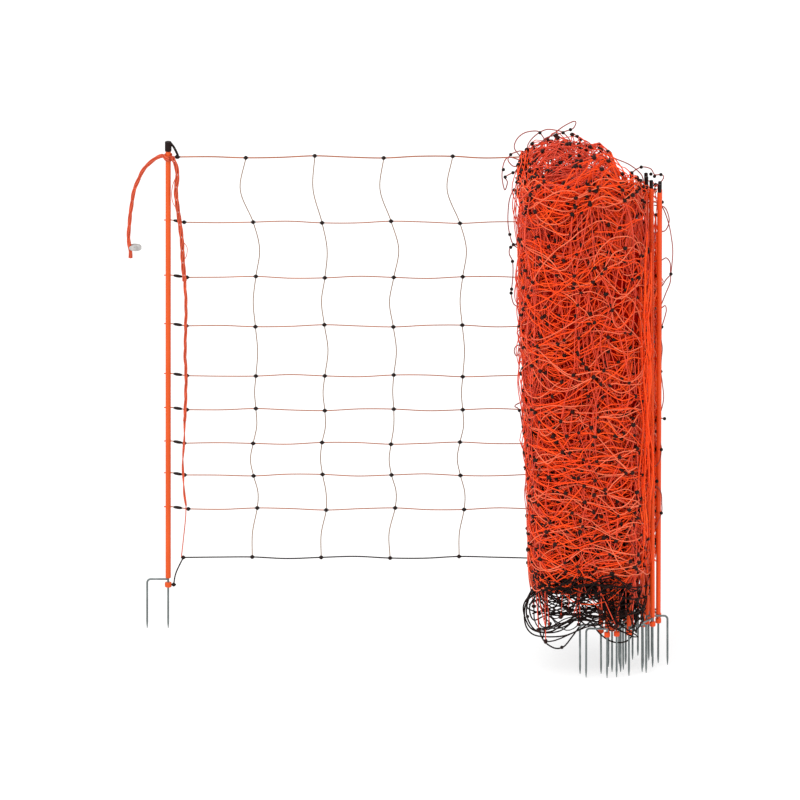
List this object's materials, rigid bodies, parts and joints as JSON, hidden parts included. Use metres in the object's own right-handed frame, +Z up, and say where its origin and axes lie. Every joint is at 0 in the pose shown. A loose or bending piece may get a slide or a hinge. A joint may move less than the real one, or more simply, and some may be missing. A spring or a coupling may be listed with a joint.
{
  "type": "electric sheep netting",
  "caption": "Electrified livestock netting: an end post with a spread stretch of net, the rest folded upright round its other posts.",
  "frame": {"origin": "on the floor under the middle of the netting, without the lead's free end and clamp", "axes": "+X from the end post along the net to the bundle, +Y from the bundle's front to the spread net, +Z up"},
  "size_m": [1.1876, 0.4682, 1.1684],
  "materials": {
    "orange_plastic": "moulded orange plastic, half gloss",
    "black_plastic": "moulded black plastic",
    "galvanised_steel": "dull zinc coat",
    "orange_twine": "twisted plastic twine with thin steel wires",
    "black_twine": "twisted black plastic twine"
  },
  "bodies": {
    "root": {"bundled_post_01_cap": "black_plastic", "bundled_post_01_shaft": "orange_plastic", "bundled_post_01_spike": "galvanised_steel", "bundled_post_02_cap": "black_plastic", "bundled_post_02_shaft": "orange_plastic", "bundled_post_02_spike": "galvanised_steel", "bundled_post_03_cap": "black_plastic", "bundled_post_03_shaft": "orange_plastic", "bundled_post_03_spike": "galvanised_steel", "bundled_post_04_cap": "black_plastic", "bundled_post_04_shaft": "orange_plastic", "bundled_post_04_spike": "galvanised_steel", "bundled_post_05_cap": "black_plastic", "bundled_post_05_shaft": "orange_plastic", "bundled_post_05_spike": "galvanised_steel", "bundled_post_06_cap": "black_plastic", "bundled_post_06_shaft": "orange_plastic", "bundled_post_06_spike": "galvanised_steel", "bundled_post_07_cap": "black_plastic", "bundled_post_07_shaft": "orange_plastic", "bundled_post_07_spike": "galvanised_steel", "bundled_post_08_cap": "black_plastic", "bundled_post_08_shaft": "orange_plastic", "bundled_post_08_spike": "galvanised_steel", "bundled_post_09_cap": "black_plastic", "bundled_post_09_shaft": "orange_plastic", "bundled_post_09_spike": "galvanised_steel", "bundled_post_10_cap": "black_plastic", "bundled_post_10_shaft": "orange_plastic", "bundled_post_10_spike": "galvanised_steel", "bundled_post_11_cap": "black_plastic", "bundled_post_11_shaft": "orange_plastic", "bundled_post_11_spike": "galvanised_steel", "bundled_post_12_cap": "black_plastic", "bundled_post_12_shaft": "orange_plastic", "bundled_post_12_spike": "galvanised_steel", "bundled_post_13_cap": "black_plastic", "bundled_post_13_shaft": "orange_plastic", "bundled_post_13_spike": "galvanised_steel", "connecting_lead": "orange_twine", "end_post_cap": "black_plastic", "end_post_foot_ring": "orange_plastic", "end_post_shaft": "orange_plastic", "end_post_spike": "galvanised_steel", "folded_ground_strand": "black_twine", "folded_netting": "orange_twine", "lead_clamp": "galvanised_steel", "lead_tail": "orange_twine", "net_panel": "orange_twine", "spacer_sleeve_2": "black_plastic", "spacer_sleeve_3": "black_plastic", "spacer_sleeve_4": "black_plastic", "spacer_sleeve_5": "black_plastic", "spacer_sleeve_6": "black_plastic", "spacer_sleeve_7": "black_plastic", "spacer_sleeve_8": "black_plastic", "spacer_sleeve_9": "black_plastic"}
  },
  "joints": []
}
